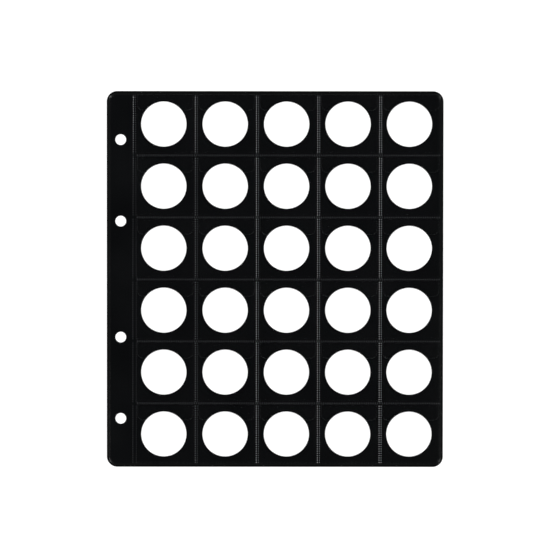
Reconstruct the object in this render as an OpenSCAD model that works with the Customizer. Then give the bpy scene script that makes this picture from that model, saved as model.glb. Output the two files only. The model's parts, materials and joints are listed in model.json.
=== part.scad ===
// Coin album page: one black sheet with round windows between clear films, ring holes down its left
// margin, and a clear closing flap over the mouth of each pocket.
// The page lies on its back. +X runs from the ring holes to the free edge, +Y to the top of the page,
// and +Z out of the front. The origin is at the middle of the page's back face.

/* [Pockets] */
// Pockets in a row
columns = 5; // [2:1:6]
// Rows of pockets
rows = 6; // [2:1:7]
// Width of one pocket, from weld to weld
pocket_w = 35.2; // [30:0.1:44]
// Height of one pocket, from weld to weld
pocket_h = 35.8; // [30:0.1:44]
// Diameter of the round window
window_d = 26; // [16:0.5:27]
// How far a window sits to the ring side of its pocket's middle
window_shift = 0.8; // [0:0.1:1]

/* [Page] */
// Width of the margin that holds the ring holes, from the page's edge to the first weld
binding_w = 15.9; // [14:0.1:24]
// From the middle of the edge weld to the page's edge
edge_inset = 1.1; // [1:0.1:2]
// Width of the raised welded rim
rim_w = 2; // [1.6:0.1:3]
// Radius of the page's corners
corner_r = 6; // [4:0.5:10]

/* [Ring holes] */
// Diameter of a ring hole
ring_hole_d = 6.2; // [5:0.1:8]
// From the page's edge to the middle of a ring hole
ring_hole_inset = 8; // [6.5:0.1:9]
// Spacing of the two inner ring holes
inner_ring_spacing = 67; // [50:0.5:80]
// Spacing of the two outer ring holes
outer_ring_spacing = 161; // [110:0.5:170]

/* [Films] */
// Thickness of the black sheet
sheet_t = 0.4; // [0.3:0.05:0.8]
// Thickness of the clear back film
back_film_t = 0.2; // [0.15:0.05:0.4]
// Thickness of the clear strips on the front
strip_t = 0.2; // [0.15:0.05:0.4]
// Thickness of the closing flaps
flap_t = 0.2; // [0.15:0.05:0.4]

/* [Welds and flaps] */
// Width of a weld's pressed band
weld_w = 2.4; // [1.6:0.1:3]
// Height of the weld that holds a row's flaps
flap_weld_w = 1.6; // [1:0.1:2]
// From a row weld to the pocket mouth under it
mouth_gap = 2; // [1.2:0.1:3]
// How far a flap strip stands up past its weld
strip_tail = 1.8; // [1:0.1:3]
// Length of a closing flap, from its crease to its free edge
flap_len = 9; // [5:0.5:14]
// Radius of a flap's free corners
flap_corner_r = 3; // [1:0.5:4]
// Gap between a flap and the welds beside it
flap_gap = 0.4; // [0.2:0.1:1]

/* [Hidden] */
page_w = binding_w + columns * pocket_w + edge_inset;
page_h = rows * pocket_h + 2 * edge_inset;
left = -page_w / 2;
top = page_h / 2;
first_weld_x = left + binding_w;
first_weld_y = top - edge_inset;
rim_inner_x = page_w / 2 - rim_w;
rim_inner_y = top - rim_w;
strip_left = first_weld_x - weld_w / 2;
// Heights of the layers above the back face
sheet_z = back_film_t;
strip_z = sheet_z + sheet_t;
flap_z = strip_z + strip_t;
// How far a cutting tool runs past the faces that it cuts
over = 1;
$fn = 64;

// Place of the weld on the ring side of column c, and of the weld above row r
function weld_x(c) = first_weld_x + (c - 1) * pocket_w;
function weld_y(r) = first_weld_y - (r - 1) * pocket_h;

// The crease that a row's flaps fold on, at the lower edge of their weld
function crease_y(r) = min(weld_y(r) - flap_weld_w / 2, r == 1 ? rim_inner_y : top);

// A rectangle from one corner to the other, with round corners
module round_rectangle(low, high, r) {
    for (x = [low.x + r, high.x - r], y = [low.y + r, high.y - r])
        translate([x, y]) circle(r);
    translate([low.x + r, low.y]) square([high.x - low.x - 2 * r, high.y - low.y]);
    translate([low.x, low.y + r]) square([high.x - low.x, high.y - low.y - 2 * r]);
}

module page_outline(inset = 0) {
    corner = [page_w / 2 - inset, page_h / 2 - inset];
    round_rectangle(-corner, corner, corner_r - inset);
}

module ring_holes() {
    for (y = [-outer_ring_spacing, -inner_ring_spacing, inner_ring_spacing, outer_ring_spacing] / 2)
        translate([left + ring_hole_inset, y, -over])
            cylinder(h = flap_z + 2 * over, d = ring_hole_d);
}

module windows() {
    for (r = [1 : rows], c = [1 : columns])
        translate([weld_x(c) + pocket_w / 2 - window_shift, weld_y(r) - pocket_h / 2, sheet_z - over])
            cylinder(h = sheet_t + 2 * over, d = window_d);
}

module window_sheet() color([0.03, 0.03, 0.035]) {
    difference() {
        translate([0, 0, sheet_z]) linear_extrude(sheet_t) page_outline();
        windows();
        ring_holes();
    }
    translate([0, 0, strip_z]) linear_extrude(strip_t) difference() {
        page_outline();
        page_outline(rim_w);
    }
}

module back_film() color([0.85, 0.88, 0.9, 0.4]) difference() {
    linear_extrude(back_film_t) page_outline();
    ring_holes();
}

// The clear front wall of the pockets in row r, from their mouths to the weld under them
module pocket_strip(r) color([0.85, 0.88, 0.9, 0.4]) {
    foot = weld_y(r + 1) - flap_weld_w / 2;
    translate([0, 0, strip_z]) linear_extrude(strip_t) intersection() {
        page_outline(rim_w);
        translate([strip_left, foot]) square([page_w, weld_y(r) - mouth_gap - foot]);
    }
}

// The welded heading of row r's flaps, from their crease to its tail above the weld
module flap_strip(r) color([0.75, 0.8, 0.85, 0.4]) {
    translate([0, 0, flap_z]) linear_extrude(flap_t) intersection() {
        page_outline(edge_inset / 2);
        translate([strip_left, crease_y(r)])
            square([rim_inner_x - strip_left, weld_y(r) + strip_tail - crease_y(r)]);
    }
}

// The flap of the pocket in row r and column c, shut over the mouth
module flap(r, c) color([0.75, 0.8, 0.85, 0.4]) {
    from_x = weld_x(c) + weld_w / 2 + flap_gap;
    to_x = (c == columns ? rim_inner_x : weld_x(c + 1) - weld_w / 2) - flap_gap;
    free_y = crease_y(r) - flap_len;
    translate([0, 0, flap_z]) linear_extrude(flap_t) {
        for (x = [from_x + flap_corner_r, to_x - flap_corner_r])
            translate([x, free_y + flap_corner_r]) circle(flap_corner_r);
        translate([from_x + flap_corner_r, free_y])
            square([to_x - from_x - 2 * flap_corner_r, flap_len]);
        translate([from_x, free_y + flap_corner_r])
            square([to_x - from_x, flap_len - flap_corner_r]);
    }
}

window_sheet();
back_film();
for (r = [1 : rows]) {
    pocket_strip(r);
    flap_strip(r);
    for (c = [1 : columns])
        flap(r, c);
}
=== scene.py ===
import json
import math

import bpy
import numpy as np
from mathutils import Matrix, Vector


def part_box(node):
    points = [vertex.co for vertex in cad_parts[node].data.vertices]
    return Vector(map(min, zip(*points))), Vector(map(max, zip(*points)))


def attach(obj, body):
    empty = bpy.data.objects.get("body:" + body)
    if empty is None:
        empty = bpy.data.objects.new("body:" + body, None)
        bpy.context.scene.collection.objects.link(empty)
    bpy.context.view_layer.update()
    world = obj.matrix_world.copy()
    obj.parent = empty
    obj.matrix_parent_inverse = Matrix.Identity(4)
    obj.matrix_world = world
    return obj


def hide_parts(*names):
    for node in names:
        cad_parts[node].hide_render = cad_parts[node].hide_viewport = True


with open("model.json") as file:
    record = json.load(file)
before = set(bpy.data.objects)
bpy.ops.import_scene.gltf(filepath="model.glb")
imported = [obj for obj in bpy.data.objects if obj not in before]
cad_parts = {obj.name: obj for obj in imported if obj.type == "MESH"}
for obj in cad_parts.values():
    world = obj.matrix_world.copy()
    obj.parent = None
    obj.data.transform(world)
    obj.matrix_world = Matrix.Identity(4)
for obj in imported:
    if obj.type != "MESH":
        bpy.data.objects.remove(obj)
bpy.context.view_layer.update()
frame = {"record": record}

# The clear back film
#
# One sheet of clear soft PVC lies behind the whole page and shuts the round windows at the back.
# It is cut to the page's outline, punched for the rings and welded to the black sheet all round.

mm = 0.001
columns, rows = 5, 6
page_low, page_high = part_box("window_sheet")
corner_radius = 6 * mm
edge_tuck = 0.3 * mm  # how far the layers' edges lie inside the welded rim
film_edge_round = 0.03 * mm
back_film_thickness = 0.16 * mm
back_film_top = 0.188 * mm
back_film_wave = 0.015 * mm
ring_holes = [
    (mount["pos_m"][0], mount["pos_m"][1], mount["dims"]["r_mm"] * mm)
    for mount in frame["record"]["mounts"]
    if mount["kind"] == "bore"
]

# The middles of the welds that share the page out into pockets; the last of each run lies in the rim
weld_width = 2.4 * mm
flap_weld_width = 1.6 * mm
pocket_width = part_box("flap_1_2")[0].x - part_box("flap_1_1")[0].x
pocket_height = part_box("flap_2_1")[0].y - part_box("flap_3_1")[0].y
weld_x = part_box("pocket_strip_1")[0].x + weld_width / 2 + pocket_width * np.arange(columns + 1)
weld_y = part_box("flap_2_1")[1].y + flap_weld_width / 2 + pocket_height * (1 - np.arange(rows + 1))

# Grid steps across the margin, and across one pocket
margin_steps = 14
pocket_steps = 24


def page_lines():
    """The x and y lines of the page's grid: even steps over the margin, even steps over the pockets that
    meet every weld, and one more line at each edge of the page."""
    left, right = page_low.x + edge_tuck, page_high.x - edge_tuck
    foot, head = page_low.y + edge_tuck, page_high.y - edge_tuck
    pocket_xs = np.linspace(weld_x[0], weld_x[-1], columns * pocket_steps + 1)
    pocket_ys = np.linspace(weld_y[-1], weld_y[0], rows * pocket_steps + 1)
    xs = np.concatenate([np.linspace(left, weld_x[0], margin_steps + 1)[:-1], pocket_xs, [right]])
    ys = np.concatenate([[foot], pocket_ys, [head]])
    return xs, ys


def ring_hole_places(xs, ys):
    """Each ring hole with the block of grid lines that its rings of points fill: the whole margin in x,
    and the lines nearest to its own height, one hole width past it on both sides, in y."""
    places = []
    for x, y, radius in ring_holes:
        first = int(np.abs(ys - (y - 2.2 * radius)).argmin())
        last = int(np.abs(ys - (y + 2.2 * radius)).argmin())
        places.append((x, y, radius, (0, margin_steps), (first, last)))
    return places


def punched_sheet(xs, ys, holes):
    """Points and faces of a flat sheet on the grid lines xs and ys, with round holes. A hole is given by
    its centre, its radius and its block of lines. From the block's border to the circle the points run
    straight towards the centre, ring by ring, and the rings crowd together near the circle."""
    points = np.stack(np.meshgrid(xs, ys, indexing="ij"), -1).reshape(-1, 2)
    number = np.arange(len(points)).reshape(len(xs), len(ys))
    whole = np.ones((len(xs) - 1, len(ys) - 1), bool)
    faces = []
    for x, y, radius, (i0, i1), (j0, j1) in holes:
        whole[i0:i1, j0:j1] = False
        ring = np.concatenate(
            [number[i0:i1, j0], number[i1, j0:j1], number[i1:i0:-1, j1], number[i0, j1:j0:-1]]
        )
        border = points[ring]
        away = border - (x, y)
        circle = (x, y) + radius * away / np.linalg.norm(away, axis=1, keepdims=True)
        for share in (0.2, 0.42, 0.62, 0.78, 0.9, 0.97, 1.0):
            inner = len(points) + np.arange(len(ring))
            points = np.concatenate([points, border + share * (circle - border)])
            faces.append(np.stack([ring, np.roll(ring, -1), np.roll(inner, -1), inner], 1))
            ring = inner
    i, j = np.nonzero(whole)
    faces.append(np.stack([number[i, j], number[i + 1, j], number[i + 1, j + 1], number[i, j + 1]], 1))
    used, faces = np.unique(np.concatenate(faces), return_inverse=True)
    return points[used], faces.reshape(-1, 4)


def round_corners(points, low, high, radius, upper=True):
    """Pulls the corners of a rectangle in to quarter circles. Measured from a corner circle's centre, a
    point whose longer distance, along x or y, is m ends at the straight distance m. Without upper, only
    the two corners at low y are rounded."""
    low, high = np.array(low[:2]), np.array(high[:2])
    inner = np.clip(points, low + radius, high - (radius, radius if upper else 0))
    off = points - inner
    straight = np.linalg.norm(off, axis=1, keepdims=True)
    longest = np.abs(off).max(axis=1, keepdims=True)
    return inner + off * longest / np.maximum(straight, 1e-12)


def unevenness(x, y):
    """How a soft sheet lies on a table: the sum of three long waves that cross, from -1 to 1."""
    return (
        np.sin(34 * x + 11 * y + 0.4) + np.sin(52 * y - 23 * x + 1.9) + np.sin(71 * x + 63 * y + 3.1)
    ) / 3


def add_piece(name, points, faces, material, slot, body, *nodes):
    """A smooth new piece that takes its finish from the given material, rides on a body and stands for CAD
    nodes. The slot argument is not used.
    """
    mesh = bpy.data.meshes.new(name)
    mesh.from_pydata(np.asarray(points).tolist(), [], np.asarray(faces).tolist())
    mesh.materials.append(material)
    mesh.shade_smooth()
    made = bpy.data.objects.new(name, mesh)
    bpy.context.scene.collection.objects.link(made)
    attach(made, body)
    if nodes:
        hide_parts(*nodes)
    return made


def give_thickness(made, thickness, edge_round):
    """Thickens a surface downwards into a closed film and rounds the edges of its outline and holes."""
    solid = made.modifiers.new("thickness", "SOLIDIFY")
    solid.thickness = thickness
    solid.offset = -1
    edge = made.modifiers.new("rounded edges", "BEVEL")
    edge.width = edge_round
    edge.segments = 2
    edge.limit_method = "ANGLE"
    edge.angle_limit = math.radians(60)


def lets_light_by(made):
    """Clear film casts no shadow that the eye can find, on the sheet under it or on the table."""
    made.visible_shadow = False


def add_node(tree, kind, inputs=(), **settings):
    """A shader node with its settings, and its inputs set to a value or joined to another node's output."""
    made = tree.nodes.new(kind)
    for key, value in settings.items():
        setattr(made, key, value)
    for key, value in dict(inputs).items():
        if isinstance(value, bpy.types.NodeSocket):
            tree.links.new(value, made.inputs[key])
        else:
            made.inputs[key].default_value = value
    return made


def clear_film(name, gloss, ripple):
    """Clear soft PVC: it lets nearly all light straight through and shines more the flatter it is seen,
    on the side where the light enters. Its gloss is broken by rub marks, and ripple is the height of its
    long, shallow waves."""
    material = bpy.data.materials.new(name)
    material.use_nodes = True
    tree = material.node_tree
    tree.nodes.clear()
    place = add_node(tree, "ShaderNodeTexCoord").outputs["Object"]
    marks = add_node(tree, "ShaderNodeTexNoise", {"Vector": place, "Scale": 240, "Detail": 4})
    waves = add_node(tree, "ShaderNodeTexNoise", {"Vector": place, "Scale": 42, "Detail": 1})
    rough = add_node(
        tree,
        "ShaderNodeMapRange",
        {
            "Value": marks.outputs["Fac"],
            "From Min": 0.3,
            "From Max": 0.75,
            "To Min": gloss,
            "To Max": 2.2 * gloss,
        },
    )
    bump = add_node(
        tree, "ShaderNodeBump", {"Height": waves.outputs["Fac"], "Strength": 0.4, "Distance": ripple}
    )
    shine = add_node(
        tree,
        "ShaderNodeBsdfGlossy",
        {"Roughness": rough.outputs["Result"], "Normal": bump.outputs["Normal"]},
    )
    through = add_node(tree, "ShaderNodeBsdfTransparent")
    fresnel = add_node(tree, "ShaderNodeFresnel", {"IOR": 1.45, "Normal": bump.outputs["Normal"]})
    leaving = add_node(tree, "ShaderNodeNewGeometry").outputs["Backfacing"]
    entering = add_node(tree, "ShaderNodeMath", {0: 1.0, 1: leaving}, operation="SUBTRACT")
    share = add_node(
        tree, "ShaderNodeMath", {0: fresnel.outputs[0], 1: entering.outputs[0]}, operation="MULTIPLY"
    )
    mixed = add_node(
        tree, "ShaderNodeMixShader", {0: share.outputs[0], 1: through.outputs[0], 2: shine.outputs[0]}
    )
    add_node(tree, "ShaderNodeOutputMaterial", {"Surface": mixed.outputs[0]})
    return material


back_film_clear = clear_film("back film, clear PVC", gloss=0.1, ripple=0.3 * mm)

film_xs, film_ys = page_lines()
points, faces = punched_sheet(film_xs, film_ys, ring_hole_places(film_xs, film_ys))
points = round_corners(
    points, (film_xs[0], film_ys[0]), (film_xs[-1], film_ys[-1]), corner_radius - edge_tuck
)
heights = back_film_top + back_film_wave * unevenness(*points.T)
back_film = add_piece(
    "back_film_sheet",
    np.column_stack([points, heights]),
    faces,
    back_film_clear,
    "clear_film",
    "page",
    "back_film",
)
give_thickness(back_film, back_film_thickness, film_edge_round)
lets_light_by(back_film)

# The black window sheet
#
# A calendered sheet of black soft PVC, die-cut with a round window for every pocket and punched for the
# rings. It lies between the clear films, and its cut edges are slightly rounded by the punch.

window_radius = 13 * mm
window_shift = 0.8 * mm  # the windows sit this far to the ring side of their pockets' middles
sheet_thickness = 0.38 * mm
sheet_bow = 0.05 * mm
sheet_wave = 0.02 * mm
window_edge_round = 0.09 * mm
grain_depth = 0.01 * mm
sheet_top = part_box("pocket_strip_1")[0].z - 0.01 * mm


def pillow(x, y):
    """How far a pocket is bowed: 1 in its middle and 0 at its welds, by a sine wave across and one up."""
    across = np.clip((x - weld_x[0]) / pocket_width, 0, columns)
    down = np.clip((weld_y[0] - y) / pocket_height, 0, rows)
    return np.sin(math.pi * (across % 1)) * np.sin(math.pi * (down % 1))


def black_pvc(name, dark, light, crown=None):
    """Black soft PVC with a satin skin: a dark, slightly cool colour that varies a little from place to
    place, a fine calendered grain, and long patches that shine a little more or less. With a crown colour,
    the tops of pressed beads, told by the piece's own crown values, are paler: partly wear from rubbing,
    partly a painted highlight that stands in for the lamps' glints."""
    material = bpy.data.materials.new(name)
    material.use_nodes = True
    tree = material.node_tree
    tree.nodes.clear()
    place = add_node(tree, "ShaderNodeTexCoord").outputs["Object"]
    patches = add_node(tree, "ShaderNodeTexNoise", {"Vector": place, "Scale": 28, "Detail": 2})
    skin = add_node(tree, "ShaderNodeTexNoise", {"Vector": place, "Scale": 1500, "Detail": 3})
    colour = add_node(
        tree,
        "ShaderNodeMix",
        {0: patches.outputs["Fac"], 6: (*dark, 1), 7: (*light, 1)},
        data_type="RGBA",
    ).outputs[2]
    if crown:
        # The bead tops' pale colour: partly wear, partly a painted highlight in place of the lamps' glints.
        wear_and_highlight_share = add_node(tree, "ShaderNodeAttribute", attribute_name="crown").outputs["Fac"]
        colour = add_node(
            tree, "ShaderNodeMix", {0: wear_and_highlight_share, 6: colour, 7: (*crown, 1)}, data_type="RGBA"
        ).outputs[2]
    rough = add_node(
        tree,
        "ShaderNodeMapRange",
        {"Value": patches.outputs["Fac"], "From Min": 0.3, "From Max": 0.7, "To Min": 0.18, "To Max": 0.25},
    )
    bump = add_node(
        tree, "ShaderNodeBump", {"Height": skin.outputs["Fac"], "Strength": 0.35, "Distance": grain_depth}
    )
    surface = add_node(
        tree,
        "ShaderNodeBsdfPrincipled",
        {
            "Base Color": colour,
            "Roughness": rough.outputs["Result"],
            "Normal": bump.outputs["Normal"],
            "IOR": 1.5,
        },
    )
    add_node(tree, "ShaderNodeOutputMaterial", {"Surface": surface.outputs[0]})
    return material


sheet_dark = (0.0016, 0.0018, 0.0021)
sheet_light = (0.0027, 0.0030, 0.0034)
sheet_black = black_pvc("window sheet, black PVC", sheet_dark, sheet_light)

window_places = [
    (
        weld_x[c] + pocket_width / 2 - window_shift,
        weld_y[r] - pocket_height / 2,
        window_radius,
        (margin_steps + c * pocket_steps, margin_steps + (c + 1) * pocket_steps),
        (1 + (rows - 1 - r) * pocket_steps, 1 + (rows - r) * pocket_steps),
    )
    for r in range(rows)
    for c in range(columns)
]
points, faces = punched_sheet(film_xs, film_ys, window_places + ring_hole_places(film_xs, film_ys))
points = round_corners(
    points, (film_xs[0], film_ys[0]), (film_xs[-1], film_ys[-1]), corner_radius - edge_tuck
)
heights = sheet_top + sheet_bow * pillow(*points.T) + sheet_wave * unevenness(*points.T)
window_sheet = add_piece(
    "black_window_sheet",
    np.column_stack([points, heights]),
    faces,
    sheet_black,
    "black_pvc",
    "page",
    "window_sheet",
)
give_thickness(window_sheet, sheet_thickness, window_edge_round)

# The welded rim
#
# Round the edge all layers are melted together and cut through in one stroke. The outer part is pressed
# flat up to its sharp cut edge, and a low ridge stands where the die squeezed the melt inwards.

rim_width = 2 * mm
# Steps round each corner, and along each straight side
arc_steps = 16
side_steps = 24

# The rim's section, from the foot of its inner side round the outside: distance in from the page's
# edge, and height
rim_section = mm * np.array([
    (2.10, 0.30), (1.90, 0.02), (0.50, 0.00), (0.06, 0.00), (0.02, 0.02), (0.00, 0.07), (0.00, 0.65),
    (0.004, 0.68), (0.02, 0.697), (0.035, 0.70), (0.30, 0.70), (0.95, 0.70), (1.08, 0.71), (1.20, 0.74),
    (1.34, 0.80), (1.48, 0.83), (1.62, 0.80), (1.76, 0.74), (1.88, 0.71), (1.98, 0.70), (2.06, 0.68),
    (2.10, 0.60),
])


def page_outline():
    """Points and outward directions along the page's edge: four quarter circles joined by straight
    sides, anticlockwise from the foot's left end."""
    low = np.array(page_low[:2]) + corner_radius
    high = np.array(page_high[:2]) - corner_radius
    places, outward = [], []
    middles = [(low[0], low[1]), (high[0], low[1]), (high[0], high[1]), (low[0], high[1])]
    for turn, centre in enumerate(middles):
        angles = math.pi + turn * math.pi / 2 + np.linspace(0, math.pi / 2, arc_steps + 1)
        away = np.column_stack([np.cos(angles), np.sin(angles)])
        arc = centre + corner_radius * away
        if places:
            side = np.linspace(places[-1][-1], arc[0], side_steps + 1)[1:-1]
            places.append(side)
            outward.append(np.repeat(outward[-1][-1:], len(side), axis=0))
        places.append(arc)
        outward.append(away)
    side = np.linspace(places[-1][-1], places[0][0], side_steps + 1)[1:-1]
    places.append(side)
    outward.append(np.repeat(outward[0][:1], len(side), axis=0))
    return np.concatenate(places), np.concatenate(outward)


def swept_ring(places, outward, section):
    """A closed ring: the section, given as distance inwards and height, carried round a closed path."""
    spots = places[:, None] - outward[:, None] * section[None, :, :1]
    heights = np.broadcast_to(section[None, :, 1:], (*spots.shape[:2], 1))
    points = np.concatenate([spots, heights], axis=2).reshape(-1, 3)
    number = np.arange(len(points)).reshape(len(places), len(section))
    ahead, beside = np.roll(number, -1, axis=0), np.roll(number, -1, axis=1)
    both = np.roll(ahead, -1, axis=1)
    faces = np.stack([number, ahead, both, beside], axis=-1).reshape(-1, 4)
    return points, faces


rim_dark = (0.0012, 0.0014, 0.0014)
rim_light = (0.0022, 0.0025, 0.0025)
rim_black = black_pvc("rim, melted black PVC", rim_dark, rim_light)
points, faces = swept_ring(*page_outline(), rim_section)
rim = add_piece("welded_rim", points, faces, rim_black, "black_pvc", "page")

# The column welds
#
# Between the columns a knurled bar pressed the films and the sheet together in a narrow band with two rows
# of small beads. The beads fade out where a row weld crosses, and their tops are paler: partly wear from
# rubbing, partly a painted highlight for their glints.

bead_pitch = 1.3 * mm
bead_radius = 0.36 * mm
bead_height = 0.2 * mm
bead_row_off = 0.58 * mm  # from the weld's middle to each of its two rows
bead_sections = mm * np.array([-0.36, -0.24, -0.09, 0.09, 0.24, 0.36])  # along one bead, from its middle
column_weld_top = 0.8 * mm
column_weld_head = page_high.y - rim_width
column_weld_foot = page_low.y + rim_width
column_weld_shift = mm * np.array([0, 0.25, 0.1, 0, 0.25])  # how far each bar was set off to the right

# How much of its beads' height each weld loses down the page, and its right row's height to its left's
left_row_loss = (0.62, 0.42, 0, 0, 0)
right_row_loss = (0.3, 0.2, 0, 0, 0)
right_row_part = (0.42, 0.52, 0.62, 0.72, 0.82)

# The first weld's rows run apart by this much, down to the middle of the page
first_weld_spread = 0.8 * mm
column_across = mm * np.array([
    -1.2, -1.18, -0.94, -0.82, -0.67, -0.49, -0.34, -0.22, 0.22, 0.34, 0.49, 0.67, 0.82, 0.94, 1.18, 1.2
])

# Pale bead tops: partly wear from rubbing, partly a painted highlight that stands in for the lamps' glints
# on the beads.
bead_top_wear_and_highlight = (0.38, 0.395, 0.418)
weld_black = black_pvc("welds, pressed black PVC", sheet_dark, sheet_light, bead_top_wear_and_highlight)


def bead_lines(start, end, sections):
    """Places of the sections along a weld: the same few round every bead, one pitch after another, and
    for each the distance from the middle of its own bead."""
    count = int((end - start) / bead_pitch)
    middles = start + bead_pitch * (np.arange(count) + 0.5)
    along = (middles[:, None] + sections).ravel()
    along[[0, -1]] = start, end
    return along, np.tile(sections, count)


def bead(off_across, off_along, half_width, half_length):
    """A smooth round-topped bead: 1 at its middle, falling to 0 at its oval edge."""
    share = (off_across / half_width) ** 2 + (off_along / half_length) ** 2
    return np.maximum(1 - share, 0) ** 1.3


def add_weld(name, across, along, heights, crowns, turn):
    """A closed black band: a grid of top points, across by along, with a flat underside at the page's
    back and flat ends. turn lays the band's own x, y and z on the page, and crowns is kept for its
    finish."""
    top = np.stack([*np.meshgrid(across, along), heights], axis=-1)
    first = np.column_stack([np.full(len(along), across[0]), along, np.zeros(len(along))])
    last = np.column_stack([np.full(len(along), across[-1]), along, np.zeros(len(along))])
    grid = np.concatenate([top, last[:, None], first[:, None]], axis=1)
    count, around = grid.shape[:2]
    number = np.arange(count * around).reshape(count, around)
    near, far = number[:-1], number[1:]
    sides = np.stack([near, np.roll(near, -1, axis=1), np.roll(far, -1, axis=1), far], axis=-1)
    faces = sides.reshape(-1, 4).tolist() + [number[0, ::-1].tolist(), number[-1].tolist()]
    points = turn(*grid.reshape(-1, 3).T)
    mesh = bpy.data.meshes.new(name)
    mesh.from_pydata(np.column_stack(points).tolist(), [], faces)
    shown = np.zeros(grid.shape[:2], "f")
    shown[:, :-2] = crowns
    mesh.attributes.new("crown", "FLOAT", "POINT").data.foreach_set("value", shown.ravel())
    mesh.materials.append(weld_black)
    mesh.shade_smooth()
    made = bpy.data.objects.new(name, mesh)
    bpy.context.scene.collection.objects.link(made)
    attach(made, "page")


def upright_band(middle, along, apart):
    """Lays a band upright, with its middle at an x. Its left and right halves run apart along it."""

    def turn(x, y, z):
        return middle + x + np.sign(x) * np.interp(y, along, apart) / 2, y, z

    return turn


for c in range(columns):
    along, off_along = bead_lines(column_weld_foot, column_weld_head, bead_sections)
    down = (column_weld_head - along) / (column_weld_head - column_weld_foot)
    lost = np.clip(down / 0.25, 0, 1)
    apart = (first_weld_spread if c == 0 else 0) * np.clip(down / 0.5, 0, 1)
    left_share = 1 - left_row_loss[c] * lost
    right_share = right_row_part[c] * (1 - right_row_loss[c] * lost)
    to_row_weld = np.abs(along[:, None] - weld_y).min(axis=-1)
    shown = np.clip((to_row_weld - 0.5 * mm) / (0.3 * mm), 0, 1)
    across_grid, off_grid = np.meshgrid(column_across, off_along)
    left_row = bead(across_grid + bead_row_off, off_grid, bead_radius, bead_radius)
    right_row = bead(across_grid - bead_row_off, off_grid, bead_radius, bead_radius)
    beads = left_row * (shown * left_share)[:, None] + right_row * (shown * right_share)[:, None]
    # The crown values, the beads squared, mark the painted highlight and wear on the bead tops, so lower
    # rows and fading beads get less of it.
    add_weld(
        f"column_weld_{c + 1}",
        column_across,
        along,
        column_weld_top + bead_height * beads,
        beads**2,
        upright_band(weld_x[c] + column_weld_shift[c], along, apart),
    )

# The row welds
#
# Under each row a finer knurl made one row of short upright ticks. This weld holds the pockets of the
# row above shut at their foot, and the flaps of the row below by their heading.

row_weld_top = 0.98 * mm
row_weld_foot = 0.01 * mm  # a hair above the column welds' underside
tick_height = 0.08 * mm
tick_half_length = 0.64 * mm
tick_half_width = 0.22 * mm
tick_top_wear_and_highlight = 0.14  # how pale the ticks' tops are painted, next to the beads: partly wear, partly painted highlight
row_weld_left = weld_x[0] + weld_width / 2
row_weld_right = page_high.x - rim_width + 0.3 * mm
tick_sections = mm * np.array([-0.24, -0.15, -0.05, 0.05, 0.15, 0.24])  # along one tick's width
row_across = mm * np.array([-0.8, -0.78, -0.62, -0.46, -0.28, -0.1, 0.1, 0.28, 0.46, 0.62, 0.78, 0.8])


def level_band(middle):
    """Lays a band level, with its middle at a y and its underside no lower than its foot."""

    def turn(x, y, z):
        return y, middle - x, np.maximum(z, row_weld_foot)

    return turn


for r in range(1, rows):
    along, off_along = bead_lines(row_weld_left, row_weld_right, tick_sections)
    across_grid, off_grid = np.meshgrid(row_across, off_along)
    ticks = bead(across_grid, off_grid, tick_half_length, tick_half_width)
    heights = row_weld_top + tick_height * ticks
    crowns = tick_top_wear_and_highlight * ticks**1.5
    add_weld(f"row_weld_{r}", row_across, along, heights, crowns, level_band(weld_y[r]))

# The pocket strips
#
# A strip of clear film runs across each row and is the front wall of its five pockets. It is welded at
# its foot and at every column weld, and its free upper edge, the pockets' mouths, stands a little open.

strip_thickness = 0.15 * mm
strip_clear = clear_film("pocket strip, clear PVC", gloss=0.07, ripple=0.5 * mm)
strip_steps = 20
strip_bow = 0.26 * mm
strip_wave = 0.02 * mm
mouth_pout = 0.1 * mm
mouth_pout_depth = 8 * mm


def film_panel(low, high, steps):
    """Points and faces of a flat rectangular piece of film from one corner to the other."""
    xs = np.linspace(low[0], high[0], steps + 1)
    ys = np.linspace(low[1], high[1], steps + 1)
    points = np.stack(np.meshgrid(xs, ys, indexing="ij"), -1).reshape(-1, 2)
    number = np.arange(len(points)).reshape(steps + 1, steps + 1)
    faces = np.stack([number[:-1, :-1], number[1:, :-1], number[1:, 1:], number[:-1, 1:]], -1)
    return points, faces.reshape(-1, 4)


def film_lift(x, y):
    """How far the front films stand off the page's flat: bowed over each pocket, and a little uneven."""
    return strip_bow * pillow(x, y) + strip_wave * (1 + unevenness(x, y))


def mouth_lift(x, y, mouth):
    """The pout of a pocket's mouth: a sine wave across, highest at its free edge, that falls away below
    it with the square of the depth that is left."""
    across = np.clip((x - weld_x[0]) / pocket_width, 0, columns)
    left = np.clip(1 - (mouth - y) / mouth_pout_depth, 0, 1)
    return mouth_pout * np.sin(math.pi * (across % 1)) * left**2


def panel_ends(c):
    """Where a column's films end: inside the welds beside it, or in the rim."""
    tuck = weld_width / 2 - 0.3 * mm
    right = weld_x[c + 1] - tuck if c < columns - 1 else page_high.x - rim_width + 0.1 * mm
    return weld_x[c] + tuck, right


def row_film(low, high, steps):
    """Points and faces of a row's film: one flat panel for each of its pockets, from weld to weld."""
    all_points, all_faces, start = [], [], 0
    for c in range(columns):
        left, right = panel_ends(c)
        points, faces = film_panel((left, low.y), (right, high.y), steps)
        all_points.append(points)
        all_faces.append(faces + start)
        start += len(points)
    return np.concatenate(all_points), np.concatenate(all_faces)


for r in range(rows):
    node = f"pocket_strip_{r + 1}"
    low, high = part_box(node)
    points, faces = row_film(low, high, strip_steps)
    heights = low.z + strip_thickness + (film_lift(*points.T) + mouth_lift(*points.T, high.y))
    points = np.column_stack([points, heights])
    strip = add_piece(f"front_film_{r + 1}", points, faces, strip_clear, "clear_film", "page", node)
    give_thickness(strip, strip_thickness, film_edge_round)
    lets_light_by(strip)

# The flap strips and the closing flaps
#
# A second strip of film is welded along the head of each row. Slit at the column welds, it hangs as five
# short tongues over the pockets' mouths, and each one folds up on the crease along the weld's lower edge.

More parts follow.
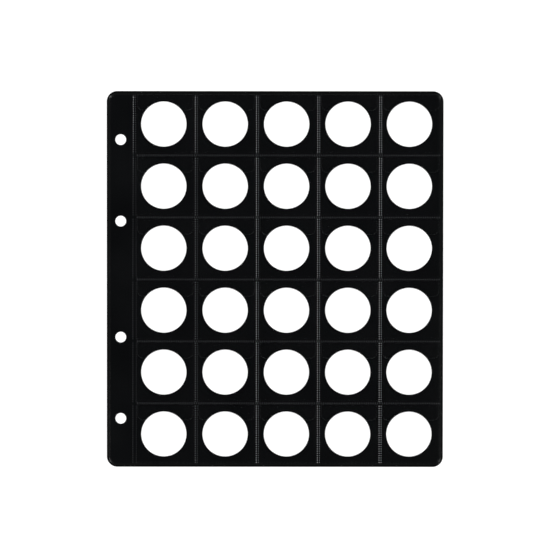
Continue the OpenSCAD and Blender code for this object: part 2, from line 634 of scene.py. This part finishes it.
flap_thickness = 0.17 * mm
flap_clear = clear_film("closing flap, clear PVC", gloss=0.06, ripple=0.4 * mm)
flap_corner = 3 * mm
crease_reach = 2 * mm  # the flap lifts to its full bow over this length from its crease
flap_steps = 14
heading_steps = 6


def cut_edge(name, dark, light):
    """The cut edge of clear film, which looks smoky from the side: a grey that varies along the cut."""
    material = bpy.data.materials.new(name)
    material.use_nodes = True
    tree = material.node_tree
    tree.nodes.clear()
    place = add_node(tree, "ShaderNodeTexCoord").outputs["Object"]
    cuts = add_node(tree, "ShaderNodeTexNoise", {"Vector": place, "Scale": 900, "Detail": 2}).outputs["Fac"]
    colour = add_node(
        tree, "ShaderNodeMix", {0: cuts, 6: (*dark, 1), 7: (*light, 1)}, data_type="RGBA"
    ).outputs[2]
    bump = add_node(tree, "ShaderNodeBump", {"Height": cuts, "Strength": 0.5, "Distance": 0.02 * mm})
    surface = add_node(
        tree,
        "ShaderNodeBsdfPrincipled",
        {"Base Color": colour, "Roughness": 0.35, "Normal": bump.outputs["Normal"], "IOR": 1.5},
    )
    add_node(tree, "ShaderNodeOutputMaterial", {"Surface": surface.outputs[0]})
    return material


flap_edge = cut_edge("closing flap, cut edge", (0.04, 0.043, 0.046), (0.08, 0.085, 0.09))

for r in range(rows):
    node = f"flap_strip_{r + 1}"
    low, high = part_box(node)
    for c in range(columns):
        flap_node = f"flap_{r + 1}_{c + 1}"
        flap_low, flap_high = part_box(flap_node)
        points, faces = film_panel(flap_low, flap_high, flap_steps)
        points = round_corners(points, flap_low, flap_high, flap_corner, upper=False)
        from_crease = np.clip((flap_high.y - points[:, 1]) / crease_reach, 0, 1)
        lift = (film_lift(*points.T) + mouth_lift(*points.T, high.y)) * from_crease
        points = np.column_stack([points, flap_high.z + lift])
        name = f"closing_flap_{r + 1}_{c + 1}"
        flap = add_piece(name, points, faces, flap_clear, "flap_film", flap_node, flap_node)
        flap.data.materials.append(flap_edge)
        give_thickness(flap, flap_thickness, film_edge_round)
        flap.modifiers["thickness"].material_offset_rim = 1
        lets_light_by(flap)
    points, faces = row_film(low, high, heading_steps)
    points = np.column_stack([points, np.full(len(points), high.z)])
    heading = add_piece(f"flap_heading_{r + 1}", points, faces, flap_clear, "clear_film", "page", node)
    give_thickness(heading, flap_thickness, film_edge_round)
    lets_light_by(heading)

# The table, the lamps and the camera
#
# The page lies on a white table that keeps its shadow. Two wide soft lamps light it without a glare, and
# four small ones put the glints on its corners. The camera looks down from far away, tipped a little.

table_half = 4
table_top = -0.05 * mm
table_corners = [
    (-table_half, -table_half, table_top),
    (table_half, -table_half, table_top),
    (table_half, table_half, table_top),
    (-table_half, table_half, table_top),
]
table_mesh = bpy.data.meshes.new("table")
table_mesh.from_pydata(table_corners, [], [(0, 1, 2, 3)])
table = bpy.data.objects.new("table", table_mesh)
bpy.context.scene.collection.objects.link(table)
paper = bpy.data.materials.new("white table")
paper.use_nodes = True
tree = paper.node_tree
tree.nodes.clear()
ray = add_node(tree, "ShaderNodeLightPath").outputs
seen = ray["Is Camera Ray"]
for kind in ("Is Glossy Ray", "Is Transmission Ray"):
    seen = add_node(tree, "ShaderNodeMath", {0: seen, 1: ray[kind]}, operation="MAXIMUM").outputs[0]
lit = add_node(tree, "ShaderNodeBsdfDiffuse", {"Color": (0.28, 0.28, 0.28, 1)})
plain = add_node(tree, "ShaderNodeEmission", {"Color": (1, 1, 1, 1), "Strength": 0.86})
dark = add_node(tree, "ShaderNodeBsdfDiffuse", {"Color": (0.5, 0.5, 0.5, 1)})
white = add_node(tree, "ShaderNodeAddShader", {0: lit.outputs[0], 1: plain.outputs[0]})
mixed = add_node(tree, "ShaderNodeMixShader", {0: seen, 1: dark.outputs[0], 2: white.outputs[0]})
add_node(tree, "ShaderNodeOutputMaterial", {"Surface": mixed.outputs[0]})
table_mesh.materials.append(paper)


def add_lamp(name, place, size, power):
    """A square lamp at a place, turned to face the middle of the page."""
    lamp = bpy.data.lights.new(name, "AREA")
    lamp.size = size
    lamp.energy = power
    made = bpy.data.objects.new(name, lamp)
    made.location = place
    made.rotation_euler = (-made.location).to_track_quat("-Z", "Y").to_euler()
    bpy.context.scene.collection.objects.link(made)
    return made


add_lamp("left soft lamp", (-0.62, 0.3, 0.84), 0.4, 6.4).visible_glossy = False
add_lamp("right soft lamp", (0.64, 0.3, 0.84), 0.4, 5.8).visible_glossy = False
add_lamp("left lamp by the head", (-0.62, 0.36, 0.84), 0.14, 1.5)
add_lamp("right lamp by the head", (0.64, 0.35, 0.84), 0.14, 1.5)
add_lamp("left lamp by the foot", (-0.62, -0.5, 0.84), 0.14, 1.3)
add_lamp("right lamp by the foot", (0.64, -0.5, 0.84), 0.14, 1.3)

world = bpy.data.worlds.new("room")
bpy.context.scene.world = world
world.use_nodes = True
tree = world.node_tree
tree.nodes.clear()
ray = add_node(tree, "ShaderNodeLightPath").outputs
way = add_node(tree, "ShaderNodeTexCoord").outputs["Object"]
up = add_node(tree, "ShaderNodeSeparateXYZ", {0: way}).outputs["Z"]
level = add_node(
    tree,
    "ShaderNodeMapRange",
    {"Value": up, "From Min": 0.72, "From Max": 0.97, "To Min": 0.2, "To Max": 0.01},
)
room = add_node(
    tree, "ShaderNodeBackground", {"Color": (0.96, 0.98, 1, 1), "Strength": level.outputs["Result"]}
)
white = add_node(tree, "ShaderNodeBackground", {"Color": (1, 1, 1, 1), "Strength": 1.0})
mixed = add_node(
    tree, "ShaderNodeMixShader", {0: ray["Is Camera Ray"], 1: room.outputs[0], 2: white.outputs[0]}
)
add_node(tree, "ShaderNodeOutputWorld", {"Surface": mixed.outputs[0]})

camera_distance = 8
camera_tip = math.radians(6.6)
camera_roll = math.radians(0.05)
view_width = 0.3156  # across the whole frame, at the page
aim = (0, 2.4 * mm)  # the spot in the middle of the frame
camera_data = bpy.data.cameras.new("camera")
camera_data.sensor_width = 36
camera_data.lens = 36 * camera_distance / view_width
camera_data.clip_end = 30
camera = bpy.data.objects.new("camera", camera_data)
back = camera_distance * math.sin(camera_tip)
camera.location = (
    aim[0] - back * math.sin(camera_roll),
    aim[1] + back * math.cos(camera_roll),
    camera_distance * math.cos(camera_tip),
)
camera.rotation_euler = (-camera_tip, 0, camera_roll)
bpy.context.scene.collection.objects.link(camera)
bpy.context.scene.camera = camera
bpy.context.scene.view_settings.view_transform = "Standard"
